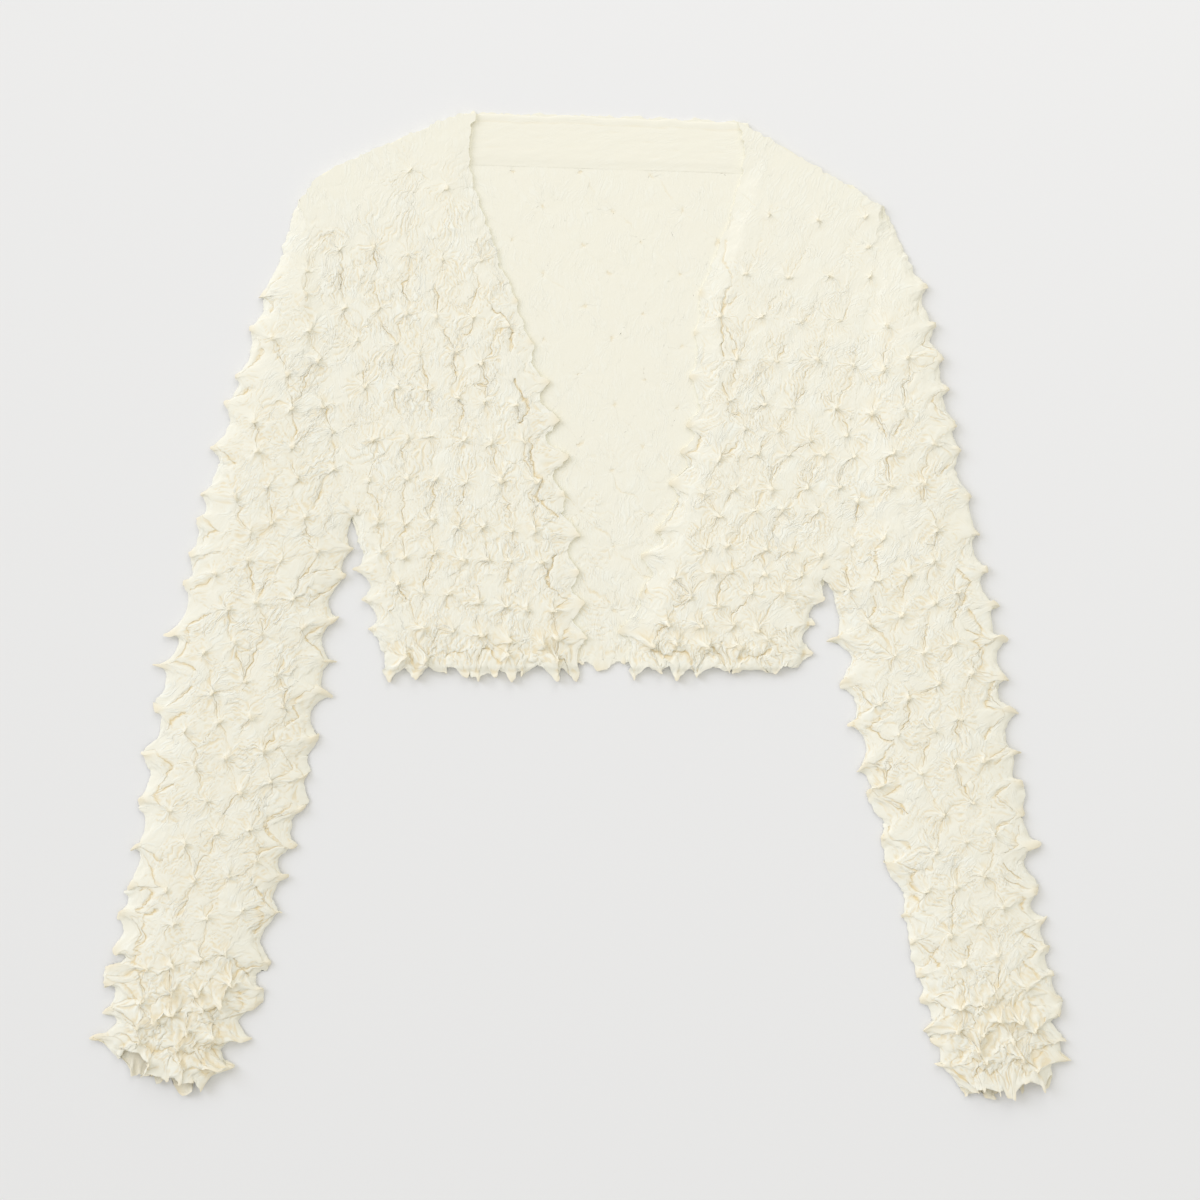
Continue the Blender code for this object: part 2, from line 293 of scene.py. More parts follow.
LOW, NEAR_HEM = (260, 20), (25, -30)  # y where a front's thorns begin to change, and where they have
EDGE_LOW = (200, 100)  # the same for those on its open edge
ROW_PLACES = 9  # the most in a row
PLACE_SPREAD = 1.6  # how far a front's thorns stray from their rows
EDGE_ROOM, HEM_ROOM = 9, 6  # from a front's open edge or a sleeve's fold to a thorn, and from the hem
SIDE_ROOM = 8  # from a seam
ARMHOLE_ROOM = {"front": -3, "sleeve": -12}  # at the armhole a thorn may stand past the line
UNDERARM_ROOM = {"front": 12, "sleeve": 6}  # the armhole ends this far above the underarm
END_ROOM = 8  # from the ends of an edge
EDGE_THORNS_FROM = {"left": 196, "right": 200}  # the open edge is plain above this y
SIDE_THORNS_BELOW = {"left": 36, "right": 12}  # they start this far under the underarm


def grown(sizes, low, near_end):
    """A thorn's size where it stands."""
    return sizes[0] + sizes[1] * low + sizes[2] * near_end


def aimed(size, turn):
    """A lean of that size, towards that turn."""
    return size * np.cos(turn), size * np.sin(turn)


def hem_ends(hand):
    """x of both ends of a front's hem, from left to right."""
    return sorted((float(line_x(FRONT_EDGE[hand], HEM_Y)), float(line_x(SIDE[hand], HEM_Y))))


def front_thorns(hand, draw):
    """The rows of thorns on a front. Those on the armhole's line are shared with the sleeve."""
    out = OUTWARD[hand]
    thorns = []
    for row, (y0, x0, pitch, drop) in enumerate(THORN_ROWS[hand]):
        for k in range(ROW_PLACES):
            x = x0 + k * pitch + draw.normal(0, PLACE_SPREAD)
            y = y0 - k * drop + draw.normal(0, PLACE_SPREAD)
            inner = (line_x(FRONT_EDGE[hand], y) - x) * -out
            outer = (x - line_x(SIDE[hand], y)) * -out
            below = y < UNDERARM_Y[hand] + UNDERARM_ROOM["front"]
            room = SIDE_ROOM if below else ARMHOLE_ROOM["front"]
            if inner < EDGE_ROOM or outer < room or y < HEM_Y + HEM_ROOM:
                continue
            low, near_hem = smooth(*LOW, y), smooth(*NEAR_HEM, y)
            height = grown(FRONT_HEIGHT, low, near_hem) * draw.uniform(0.8, 1.2)
            reach = grown(FRONT_REACH, low, near_hem) * draw.uniform(0.9, 1.1)
            lean = grown(FRONT_LEAN, low, near_hem) * draw.uniform(0.5, 1.4)
            thorns.append(thorn(x, y, reach, height, aimed(lean, draw.normal(-0.9, 0.5)), row))
    return thorns


def front_edge_thorns(hand, draw):
    """Those on the open edge, along the hem and on the side under the arm, pointing outward."""
    out = OUTWARD[hand]
    thorns = []
    y = EDGE_THORNS_FROM[hand]
    row = 0
    while y > HEM_Y + END_ROOM:
        x = line_x(FRONT_EDGE[hand], y)
        low = smooth(*EDGE_LOW, y)
        size = grown(FRONT_EDGE_LEAN, low, 0) * draw.uniform(0.45, 1.5)
        lean = (-out * size, size * draw.uniform(-0.4, 0.2))
        reach, height = grown(FRONT_EDGE_REACH, low, 0), grown(FRONT_EDGE_HEIGHT, low, 0)
        thorns.append(thorn(x, y, reach, height, lean, row, under=0.2, pull=0.3))
        y -= draw.uniform(21, 30) - 3 * low
        row += 1
    y = UNDERARM_Y[hand] - SIDE_THORNS_BELOW[hand]
    while y > HEM_Y + END_ROOM:
        lean = (out * draw.uniform(7, 10), draw.uniform(-3, 1))
        thorns.append(thorn(line_x(SIDE[hand], y), y, 10, 1.5, lean, row, under=0.5, pull=0.5))
        y -= draw.uniform(15, 20)
        row += 1
    first, last = hem_ends(hand)
    x = first + 4
    while x < last - 2:
        lean = (draw.normal(0, 3.5), -draw.uniform(4, 11))
        reach, height = draw.uniform(6.5, 9.5), draw.uniform(1, 3)
        thorns.append(thorn(x, HEM_Y, reach, height, lean, row, under=0.4, pull=0.4))
        x += draw.uniform(9, 17)
        row += 1
    return thorns


def alternate(count, first, second):
    """first, second, first and so on."""
    return np.where(np.arange(count) % 2, second, first)


def edge_creases(hand):
    """Zigzag creases: just inside the left front's open edge, down the right front, and above the hem."""
    draw = np.random.default_rng(EDGE_CREASE_SEED[hand])
    if hand == "left":
        y = 205 - np.cumsum(draw.uniform(6, 17, 20))
        inset = alternate(len(y), 14, 6) + draw.normal(0, 2, len(y))
        sides = zigzag(line_x(FRONT_EDGE[hand], y) - inset, y, draw, 0.65)
    else:
        y = LONG_CREASE[0][0] - np.cumsum(draw.uniform(7, 17, 22))
        sides = zigzag(line_x(LONG_CREASE, y) + draw.normal(0, 1.8, len(y)), y, draw, 0.8)
    first, last = hem_ends(hand)
    x = first + 3 + np.cumsum(draw.uniform(6, 13, 15))
    x = x[x < last - 6]
    y = HEM_Y + alternate(len(x), 11, 5) + draw.normal(0, 2, len(x))
    return sides + zigzag(x, y, draw, 0.7)


# --- Sleeve lattice ---


def inner_line(hand, y):
    """A sleeve's inner edge: the armhole down to the underarm, then its own seam."""
    return np.where(y > UNDERARM_Y[hand], line_x(SIDE[hand], y), line_x(SLEEVE_SEAM[hand], y))


def fold_length(hand):
    """How far a sleeve's fold runs down, from the shoulder to the cuff."""
    return SLEEVE_FOLD[hand][0][0] - SLEEVE_FOLD[hand][-1][0]


def sleeve_point(hand, across, down):
    """Where a sleeve lies: across from its inner edge to its fold, down from the shoulder to the cuff."""
    fold = SLEEVE_FOLD[hand]
    fold_y = fold[0][0] - fold_length(hand) * down
    fold_x = line_x(fold, fold_y)
    seam_y = fold_y - SLEEVE_SLANT[hand] * abs(inner_line(hand, fold_y) - fold_x)
    seam_x = inner_line(hand, seam_y) + SEAM_GAP * OUTWARD[hand]
    return seam_x + (fold_x - seam_x) * across, seam_y + (fold_y - seam_y) * across


SLEEVE_WIDTH = 92  # as it lies
SLEEVE_PITCH, SLEEVE_ROW = 19.5, 25  # between thorns in a row, and between rows
CUFF_PITCH, CUFF_ROW = 12.5, 12  # the same at the cuff
SLEEVE_SHEAR = {"left": -0.49, "right": 0.14}  # rows of thorns rise to the right on both sleeves
CUFF_LENGTH = {"left": 70, "right": 90}  # where the lattice closes up
FIRST_ROW, PAST_CUFF = 20, 50  # from the shoulder, and how far rows that rise may start past the cuff
SLEEVE_PLACES = 10  # the most in a row
EDGE_CUFF, EDGE_GROWTH = (125, 50), (60, 220)  # where edge thorns change: above the cuff, below the shoulder


def sleeve_thorns(hand, front, draw):
    """The lattice of a sleeve, staggered by half a pitch, which closes up towards the cuff."""
    length = fold_length(hand)
    thorns = []
    at, row = FIRST_ROW, 0
    while at < length + PAST_CUFF:
        near_cuff = smooth(length - CUFF_LENGTH[hand], length - 0.5 * CUFF_LENGTH[hand], at)
        pitch = SLEEVE_PITCH + (CUFF_PITCH - SLEEVE_PITCH) * near_cuff
        for k in range(SLEEVE_PLACES):
            jitter = draw.normal(0, 2.0, 2)
            turn = draw.normal(-0.8, 0.8)
            lean = draw.uniform(0.5, 2) + draw.uniform(2, 6) * near_cuff
            height = draw.uniform(2.1, 3.4) + 2.6 * near_cuff
            place = 1 - (k + 0.5 * (row % 2) + 0.3) * pitch / SLEEVE_WIDTH
            along = at + SLEEVE_SHEAR[hand] * (1 - place) * SLEEVE_WIDTH
            if not END_ROOM < along < length - HEM_ROOM:
                continue
            (inner_x, fold_x), (inner_y, fold_y) = sleeve_point(hand, np.array([0, 1]), along / length)
            width = np.hypot(fold_x - inner_x, fold_y - inner_y)
            share = 1 - (1 - place) * SLEEVE_WIDTH / width
            x, y = sleeve_point(hand, np.array(share), along / length)
            below = y <= UNDERARM_Y[hand] + UNDERARM_ROOM["sleeve"]
            room = SIDE_ROOM if below else ARMHOLE_ROOM["sleeve"]
            if share * width < room or (1 - share) * width < EDGE_ROOM:
                continue
            x, y = x + jitter[0], y + jitter[1]
            nearest = min(np.hypot(other[0] - x, other[1] - y) for other in front + thorns)
            if nearest < grown(SLEEVE_APART, 0, near_cuff):
                continue
            side = OUTWARD[hand] * (2 * share - 1)
            turn += (-np.pi / 2 + 0.9 * side - turn) * 0.8 * near_cuff
            reach = grown(SLEEVE_REACH, 0, near_cuff)
            if y < UNDERARM_Y[hand] + UNDERARM_ROOM["sleeve"]:
                reach = min(reach, share * width - REACH_ROOM)
            reach = min(reach, (1 - share) * width - REACH_ROOM)
            height *= 0.5 + 0.5 * smooth(250, 150, y)
            diagonal = k - row // 2 if hand == "left" else k + (row + 1) // 2
            thorns.append(thorn(x, y, reach, height, aimed(lean, turn), diagonal))
        at += (SLEEVE_ROW + (CUFF_ROW - SLEEVE_ROW) * near_cuff) * draw.uniform(0.94, 1.06)
        row += 1
    return thorns


def sleeve_edge_thorns(hand, draw):
    """Those along a sleeve's fold and seam and round its cuff, pointing outward."""
    length = fold_length(hand)
    thorns = []
    row = 0
    for share, over, under in ((0, 1, 0.4), (1, 1, 0.4), (0, 0, 1), (1, 0, 1)):
        along = 50 + draw.uniform(0, 12)
        out = OUTWARD[hand] * (1 if share else -1)
        while along < length - 10:
            x, y = sleeve_point(hand, np.array(share), along / length)
            near_cuff = smooth(length - EDGE_CUFF[0], length - EDGE_CUFF[1], along)
            low = smooth(*EDGE_GROWTH, along)
            size = grown((draw.uniform(4.5, 8), 1.5, 2.5), low, near_cuff)
            if not over:
                size = draw.uniform(3, 8)
            lean = (out * size, -size * draw.uniform(-0.3, 0.5))
            along += draw.uniform(18, 31) - 9 * near_cuff
            row += 1
            if not share and y > UNDERARM_Y[hand] - 12:
                continue
            if not over and y > 0:
                continue
            reach, height = grown(SLEEVE_EDGE_REACH, low, near_cuff), draw.uniform(0.5, 2)
            thorns.append(thorn(x, y, reach, height, lean, row, over, under, pull=0.7))
    # One at the underarm bends over the front's side.
    x, y = sleeve_point(hand, np.array(0), (SLEEVE_FOLD[hand][0][0] - UNDERARM_Y[hand] - 22) / length)
    thorns.append(thorn(x, y, 10, 1, (-OUTWARD[hand] * 5, -3), row, under=0.5, pull=0.5))
    for over, under in ((1, 0), (0, 1)):
        share = draw.uniform(0.05, 0.12)
        while share < 0.95:
            x, y = sleeve_point(hand, np.array(share), 1)
            lean = (draw.normal(0, 3), -draw.uniform(5, 13))
            row += 1
            height = draw.uniform(0.5, 3)
            if hand == "right" or under or share < 0.6:  # the upper layer is plain where the left cuff gapes
                thorns.append(thorn(x, y + 1, 6.2, height, lean, row, over, under, pull=0.6))
            share += draw.uniform(0.08, 0.15)
    return thorns


def zigzag(x, y, draw, kept):
    """The sides of a zigzag, with some of them left out."""
    return [side for side in zip(x[:-1], y[:-1], x[1:], y[1:], strict=True) if draw.uniform() < kept]


def sleeve_creases(hand):
    """Zigzag creases just inside a sleeve's fold and seam, and round its cuff."""
    draw = np.random.default_rng(SLEEVE_CREASE_SEED[hand])
    length = fold_length(hand)
    creases = []
    for inset, start in ((1, 250 - UNDERARM_Y[hand]), (-1, 40), (1, 270), (-1, 250)):
        along = start + np.cumsum(draw.uniform(6, 15, 50))
        along = along[along < length - 3]
        depth = alternate(len(along), 12, 4) + draw.normal(0, 2, len(along))
        share = (0 if inset > 0 else 1) + inset * depth / SLEEVE_WIDTH
        creases += zigzag(*sleeve_point(hand, share, along / length), draw, 0.5)
    for drop in (5, 13):
        share = 0.05 + np.cumsum(draw.uniform(0.05, 0.12, 16))
        share = share[share < 0.96]
        down = 1 - (drop + alternate(len(share), 0, 4) + draw.normal(0, 1.5, len(share))) / length
        creases += zigzag(*sleeve_point(hand, share, down), draw, 0.75)
    return creases


# How far sideways a long crease runs from one thorn to the next.
FRONT_LINK_LEAN = {"left": 2, "right": -12}
SLEEVE_LINK_LEAN, BACK_LINK_LEAN = -10, 22


def all_thorns(hand):
    """A front's and a sleeve's own thorns, those that set their pleats, and the creases that link them."""
    draw = np.random.default_rng(THORN_SEED[hand])
    body = front_thorns(hand, draw)
    arm = sleeve_thorns(hand, body, draw)
    front_edge, sleeve_edge = front_edge_thorns(hand, draw), sleeve_edge_thorns(hand, draw)
    own = {"front": np.array(body + arm + front_edge, THORN_FIELDS)}
    own["sleeve"] = np.array(body + arm + sleeve_edge, THORN_FIELDS)
    field = np.array(body + arm + front_edge + [one for one in sleeve_edge if one[OVER]], THORN_FIELDS)
    links = link_rows(np.array(body, THORN_FIELDS), FRONT_LINK_LEAN[hand])
    links += link_rows(np.array(arm, THORN_FIELDS), SLEEVE_LINK_LEAN)
    return own, field, links


# --- Cloth ---


def crumple(x, y, seed, waves=8):
    """Facets of folded cloth: straight creases of all directions, 7 to 18 mm apart, that come and go."""
    draw = np.random.default_rng(seed)
    total = np.zeros(x.shape)
    for k in range(waves):
        turn = draw.uniform(0, np.pi)
        length = draw.uniform(7, 18)
        share = (x * np.cos(turn) + y * np.sin(turn)) / length + draw.uniform(0, 1)
        total += abs(share - np.round(share)) * length * (0.6 + 0.5 * ripple(x, y, 35, seed + 40 + k, 5))
    return 0.025 * (total - 12)


# How far the parts of a crease reach to each side: its dome, the cut of a long crease and of a strip's, and
# the marks that the material reads for both.
DOME_REACH, CREASE_REACH, STRIP_REACH, CREASE_MARK, STRIP_MARK = 3.5, 0.9, 1.1, 2.6, 1.5


def bell(distance, reach):
    """1 at a crease, and next to nothing at twice its reach."""
    return np.exp(-((distance / reach) ** 2))


def relief(x, y, links, strips, seed, dome, rough, cut=1.1):
    """The height of the cloth between the thorns: domes, the creases between them, and facets.

    links and strips are creases, and cut is how deep the strips go. rough, from 0 to 1, is where the cloth
    is more crumpled: at the hem and the cuffs. It also returns the signed distance from the creases and how
    strong they are, for the material.
    """
    at_x, at_y = warp(x, y, seed)

    def distance(lines):
        ends = np.array(lines, float)
        starts, stops = warp(ends[:, 0], ends[:, 1], seed), warp(ends[:, 2], ends[:, 3], seed)
        return link_distance(at_x, at_y, np.stack([*starts, *stops], axis=1))

    far = distance(links)
    depth = np.clip(0.6 + 0.6 * ripple(x, y, 22, seed + 7), 0, 1.4)
    height = dome * (1 - bell(far, DOME_REACH)) - 0.8 * dome * depth * bell(far, CREASE_REACH)
    height += crumple(at_x, at_y, seed + 20) * (1 + 1.6 * rough)
    height += rough * (0.5 * np.minimum(abs(ripple(at_x, at_y, 7, seed + 8)), 1) - 0.4)
    height += rough * 0.7 * (np.minimum(abs(ripple(at_x, 0.35 * at_y, 4, seed + 9)), 1) - 0.3)
    strength = depth * bell(far, CREASE_MARK)
    if strips:
        edge = link_distance(x, y, strips)
        height -= cut * np.clip(depth + 0.3, 0, 1) * bell(edge, STRIP_REACH)
        strength = np.maximum(strength, bell(edge, STRIP_MARK))
        far = np.where(abs(edge) < abs(far), edge, far)
    return height, np.clip(far, -LINK_REACH, LINK_REACH), strength


HEM_CRUMPLED = 25  # how far above the hem the cloth begins to be more crumpled
CRINKLES = ((1.5, 15), (1, 6), (0.45, 2.6))  # (share of the size, length)


def crinkled(x, y, new_x, new_y, seed, rough, size=0.5):
    """Shifts cloth sideways by its finest folds, which leave its edges uneven."""
    size = size * (1 + 0.4 * rough)
    for k, (share, length) in enumerate(CRINKLES):
        new_x = new_x + share * size * ripple(x, y, length, seed + 60 + k)
        new_y = new_y + share * size * ripple(x, y, length, seed + 63 + k)
    return new_x, new_y


def lie(x, y, tilt, seed):
    """Places along and across the fine creases, which lean tilt degrees to the right of upright."""
    turn = np.radians(tilt)
    across = x * np.cos(turn) - y * np.sin(turn) + 2.2 * ripple(x, y, 34, seed + 70)
    return across, x * np.sin(turn) + y * np.cos(turn) + 2 * ripple(x, y, 40, seed + 71)


def raise_along(points, amount):
    """Moves a grid of points along its normals."""
    down, across = np.gradient(points, axis=0), np.gradient(points, axis=1)
    normal = np.cross(across, down)
    normal /= np.maximum(np.linalg.norm(normal, axis=-1, keepdims=True), 1e-9)
    normal *= np.where(normal[..., 2:3].mean() < 0, -1, 1)
    return points + normal * amount[..., None]


PLEATS = (9, 11, 13, 16, 19)  # round each thorn, mixed
PLEAT_HEIGHT, PLEAT_MOST = 0.11, 0.35  # as a share of the pleats' spacing, and the most in mm
PLEAT_SPACING = (13, 6)  # pleats fade out where they spread to between 6 and 13 mm apart


def pleat(points, flat_x, flat_y, field, seed, gathered, strength):
    """Pleats a grid of points and returns it with the values that its material reads."""
    at_x, at_y = warp(flat_x, flat_y, seed)
    marks = field.copy()
    marks["x"], marks["y"] = warp(field["x"], field["y"], seed)
    turn, along, slope = field_lines(at_x, at_y, marks)
    draw = np.random.default_rng(seed + 3)
    wave = np.zeros(flat_x.shape)
    for count in PLEATS:
        slant = draw.uniform(-0.25, 0.25) * count
        wave += np.real(turn**count * np.exp(1j * (slant * along + draw.uniform(0, 2 * np.pi))))
    fold = np.minimum(abs(wave) / np.sqrt(len(PLEATS) / 2), 1.3) - 0.7
    length = 2 * np.pi / (PLEATS[2] * np.maximum(slope, 1e-3))
    patches = np.clip(0.8 + 0.45 * ripple(flat_x, flat_y, 24, seed + 5), 0.25, 1.3)
    size = np.clip(PLEAT_HEIGHT * length, 0, PLEAT_MOST) * smooth(0.75, 0.3, gathered)
    size = size * smooth(*PLEAT_SPACING, length) * patches * strength
    points = raise_along(points, size * fold)
    return points, np.stack([np.real(turn), np.imag(turn), along], axis=-1)


NARROW_HOLLOW, WIDE_HOLLOW = 0.16, 1.4  # how far below its surroundings the cloth lies where it gets the full painted shade


def calm_fine(relief_left):
    """How deep the fine creases are where that share of the relief is left."""
    return CALM_FINE + (1 - CALM_FINE) * relief_left


def readings(points, flow, gathered, flat, lying, far, strength, fine):
    """What the cloth's material reads at each point.

    flow is the pleats' way, gathered how near a thorn it is, flat 1 where the cloth faces up and 0 where it
    is turned under, lying where it is across and along the fine creases, and fine how deep those are. far
    and strength say where the long creases are.
    """
    height = points[..., 2]
    narrow, wide = ((blur(height, reach) - height) for reach in (1, 4))
    # Painted shade: cloth that lies below its surroundings gets a warmer, darker colour.
    hollow_shade = np.maximum(narrow / NARROW_HOLLOW, wide / WIDE_HOLLOW)
    hollow_shade = np.clip(hollow_shade, 0, 1) * smooth(0.9, 1, blur(flat, 3))
    fine = fine + 0 * far
    return {
        "flow": flow,
        "folds": np.stack([hollow_shade, gathered, strength * (1 - gathered**2)], axis=-1),
        "creases": np.stack([*lying, far], axis=-1),
        "fine": np.stack([fine, fine, fine], axis=-1),
    }


def put(name, data):
    """Adds an object to the scene."""
    item = bpy.data.objects.new(name, data)
    bpy.context.collection.objects.link(item)
    return item


SHARP_FOLD = 1.05  # the turn at an edge, in radians, from which it shows as sharp


def skin(name, points, values, tube=False):
    """The mesh of a grid of points. A sheet is closed beneath, a tube has its first points last again."""
    rows, columns = points.shape[0] - 1, points.shape[1] - 1
    bm = bmesh.new()
    bmesh.ops.create_grid(bm, x_segments=columns, y_segments=rows, size=0.5)
    mesh = bpy.data.meshes.new(name)
    bm.to_mesh(mesh)
    mesh.vertices.foreach_set("co", (points * MM).astype(np.float32).ravel())
    for key, value in values.items():
        layer = mesh.attributes.new(key, "FLOAT_VECTOR", "POINT")
        layer.data.foreach_set("vector", value.astype(np.float32).ravel())
    bm.clear()
    bm.from_mesh(mesh)
    rim = [vertex for vertex in bm.verts if vertex.is_boundary]
    bmesh.ops.remove_doubles(bm, verts=rim, dist=1e-6)
    if not tube:
        edges = [edge for edge in bm.edges if edge.is_boundary]
        beneath = bmesh.ops.edgeloop_fill(bm, edges=edges)
        bmesh.ops.triangulate(bm, faces=beneath["faces"], quad_method="BEAUTY", ngon_method="BEAUTY")
    bmesh.ops.recalc_face_normals(bm, faces=bm.faces[:])
    if bm.calc_volume(signed=True) < 0:  # a thin sheet can come out inside out
        bmesh.ops.reverse_faces(bm, faces=bm.faces[:])
    for face in bm.faces:
        face.smooth = True
    for edge in bm.edges:
        edge.smooth = edge.calc_face_angle(0) < SHARP_FOLD
    bm.to_mesh(mesh)
    bm.free()
    return put(name, mesh)


def rimmed(steps):
    """Shares from 0 to 1, with two more points at each end that turn under the edge."""
    share = np.concatenate([[0, 0], np.linspace(0, 1, steps + 1), [1, 1]])
    turned = np.zeros(steps + 5)
    turned[[0, 1, -2, -1]] = 2, 1, 1, 2
    return share, turned


def sheet_grid(columns, rows):
    """Shares across and down a sheet's grid, and how far each point is turned under the edge, up to 2."""
    (across, turned_across), (down, turned_down) = rimmed(columns), rimmed(rows)
    return across[None, :], down[:, None], np.maximum(turned_across[None, :], turned_down[:, None])


def roll_rim(points, width):
    """Moves the middle of a sheet's turned rim outward."""
    for turned in (points, points[::-1], points.swapaxes(0, 1), points.swapaxes(0, 1)[::-1]):
        out = turned[2] - turned[5]
        out[:, 2] = 0
        out /= np.maximum(np.linalg.norm(out, axis=-1, keepdims=True), 1e-9)
        turned[1] += width * out
    return points


OVERHANG = (0.3, 4)  # how far past the back's outline a front's tips begin to come down, and have done so
TIP_DROP, UNDER_DROP = 1.8, 1.4  # how far they and their undersides do


def finish_sheet(name, x, y, turned, layers, own, field, shape, seed, strength, tilt, rough):
    """A sheet from its laid points: gathered, pleated and turned under at its edge."""
    bottom, top = layers
    height, far, crease = shape
    new_x, new_y, lift, gathered = press_thorns(x, y, own)
    new_x, new_y = crinkled(x, y, new_x, new_y, seed, rough)
    height = top + strength * height * (1 - gathered) + lift
    points, flow = pleat(np.stack([new_x, new_y, height], axis=-1), x, y, field, seed, gathered, strength)
    half = turned / 2
    under = press_thorns(x, y, own, "under")[2]
    if name != "back_panel":  # a front's tips beyond the back's outline come down to the surface
        hand = name.split("_")[0]
        side = np.where(y < 0, (new_x - line_x(SIDE[hand], new_y)) * OUTWARD[hand], -1)
        over_edge = smooth(*OVERHANG, np.maximum(side, HEM_Y - new_y))
        points[..., 2] -= TIP_DROP * over_edge
        bottom = bottom - UNDER_DROP * over_edge
    points[..., 2] = np.maximum(points[..., 2], 0.5 * (bottom + top))
    points[..., 2] = points[..., 2] * (1 - half) + (bottom + under) * half
    points = roll_rim(points, 0.5 * SEAM_GAP)
    lying = lie(x, y, tilt, seed)
    values = readings(points, flow, gathered, 1 - half, lying, far, crease * strength, calm_fine(strength))
    return skin(name, points, values)


# --- Fronts ---


def front_point(hand, across, down):
    """Where a front lies: across from the open edge to the side, down from the shoulder to the hem."""
    edge_y = NECK[hand][1] + (HEM_Y - NECK[hand][1]) * down
    side_y = SHOULDER[hand][1] + (HEM_Y - SHOULDER[hand][1]) * down
    rise = np.interp(across, *zip(*SHOULDER_RISE[hand], strict=True)) * (1 - down) ** 2
    edge_x, side_x = line_x(FRONT_EDGE[hand], edge_y), line_x(SIDE[hand], side_y)
    return edge_x + (side_x - edge_x) * across, edge_y + (side_y - edge_y) * across + rise


FRONT_SIZE = (128, 345)  # a front's width and length, for its grid


def build_front(hand, thorns, cell=0.75):
    """A front, which lies on the back from its open edge to the armhole and the side seam."""
    own, field, links = thorns
    seed = CLOTH_SEED[hand]
    across, down, turned = sheet_grid(int(FRONT_SIZE[0] / cell), int(FRONT_SIZE[1] / cell))
    x, y = front_point(hand, across, down)
    rough = smooth(HEM_Y + HEM_CRUMPLED, HEM_Y + 5, y)
    shape = relief(x, y, links, edge_creases(hand), seed, CLOTH_DOME, rough)
    at_edge = smooth(14, 0, (line_x(FRONT_EDGE[hand], y) - x) * -OUTWARD[hand]) * smooth(300, 270, y)
    at_side = smooth(9, 0, (x - line_x(SIDE[hand], y)) * -OUTWARD[hand])
    at_side = at_side * smooth(UNDERARM_Y[hand] + 6, UNDERARM_Y[hand] - 6, y)
    top = FRONT_TOP + (EDGE_TOP[hand] - FRONT_TOP) * at_edge + (UNDERARM_TOP - FRONT_TOP) * at_side
    layers = (FRONT_BOTTOM, top)
    return finish_sheet(
        hand + "_front", x, y, turned, layers, own["front"], field, shape, seed, calm(hand, y),
        FRONT_TILT[hand], rough,
    )


# --- Back ---


def neck_line(x):
    """The garment's upper edge at x: left shoulder, back neck, right shoulder."""
    corners = np.array((SHOULDER["left"], NECK["left"], NECK["right"], SHOULDER["right"]), float)
    from_neck = (NECK["left"][0] - x) / (NECK["left"][0] - SHOULDER["left"][0])
    return np.interp(x, *corners.T) + np.interp(from_neck, *zip(*SHOULDER_RISE["left"], strict=True))


BACK_HEM_Y, BACK_TOP_Y = -33, 300
BACK_LENGTH = 354  # for its grid
BACK_PITCH, BACK_ROW = 44, 21.5  # between its dimples
BACK_ROWS, BACK_PLACES = 16, range(-3, 5)  # places to each side of the middle one
BACK_DIMPLE = -0.25
BACK_FIRST = (-5, 277)  # the middle one of the top row
BACK_HEM_TIPS = ((-6, 3), (8, 8), (24, 2), (36, 3))  # those that show between the fronts: (x, how far down)
BACK_MARGIN = 13  # its fine grid goes this far under the fronts


def back_y(top, down):
    """y of the back, down from its upper edge at top to the hem."""
    return BACK_HEM_Y + (top - BACK_HEM_Y) * (1 - down)


def build_back(cell=1.0):
    """The back's inner face. Its own thorns point down, so they show as shallow dimples with star pleats."""
    fine, coarse = 190, 12
    steps = fine + 2 * coarse
    column, down, turned = sheet_grid(steps, int(BACK_LENGTH / cell))
    column = column * steps
    y = back_y(BACK_TOP_Y, down)
    left, right = line_x(SIDE["left"], y), line_x(SIDE["right"], y)
    first = line_x(FRONT_EDGE["left"], y) - BACK_MARGIN
    last = line_x(FRONT_EDGE["right"], y) + BACK_MARGIN
    x = left + (first - left) * np.clip(column / coarse, 0, 1)
    x = x + (last - first) * np.clip((column - coarse) / fine, 0, 1)
    x = x + (right - last) * np.clip((column - coarse - fine) / coarse, 0, 1)
    y = back_y(neck_line(x), down)
    draw = np.random.default_rng(BACK_THORN_SEED)
    marks = []
    for row in range(BACK_ROWS):
        for k in BACK_PLACES:
            at_x = BACK_FIRST[0] + (k + 0.5 * (row % 2)) * BACK_PITCH + draw.normal(0, 2)
            at_y = BACK_FIRST[1] - row * BACK_ROW + draw.normal(0, 2)
            if at_y > BACK_HEM_Y + 12:
                marks.append(thorn(at_x, at_y, 10, BACK_DIMPLE, (0, 0), row))
    for k, (at_x, drop) in enumerate(BACK_HEM_TIPS):
        marks.append(thorn(at_x, BACK_HEM_Y, 5 + drop, 0.8, (1, -drop), k, under=0.3, pull=0.4))
    thorns = np.array(marks, THORN_FIELDS)
    strength = (0.16 + 0.5 * smooth(130, 0, y)) * smooth(290, 265, y)
    rough = 0.6 * smooth(BACK_HEM_Y + HEM_CRUMPLED, BACK_HEM_Y, y)
    height, far, crease = relief(x, y, link_rows(thorns, BACK_LINK_LEAN), (), BACK_SEED, BACK_DOME, rough)
    layers, shape = (0, BACK_TOP), (height, far, 0 * crease)
    return finish_sheet(
        "back_panel", x, y, turned, layers, thorns, thorns, shape, BACK_SEED, strength, BACK_TILT, rough
    )


BAND_TUCK = 6  # how far it goes under the fronts
BAND_THIN = 0.46  # how much thinner it is at the seam along its lower edge
BAND_FINE = 0.25  # how deep its fine creases are


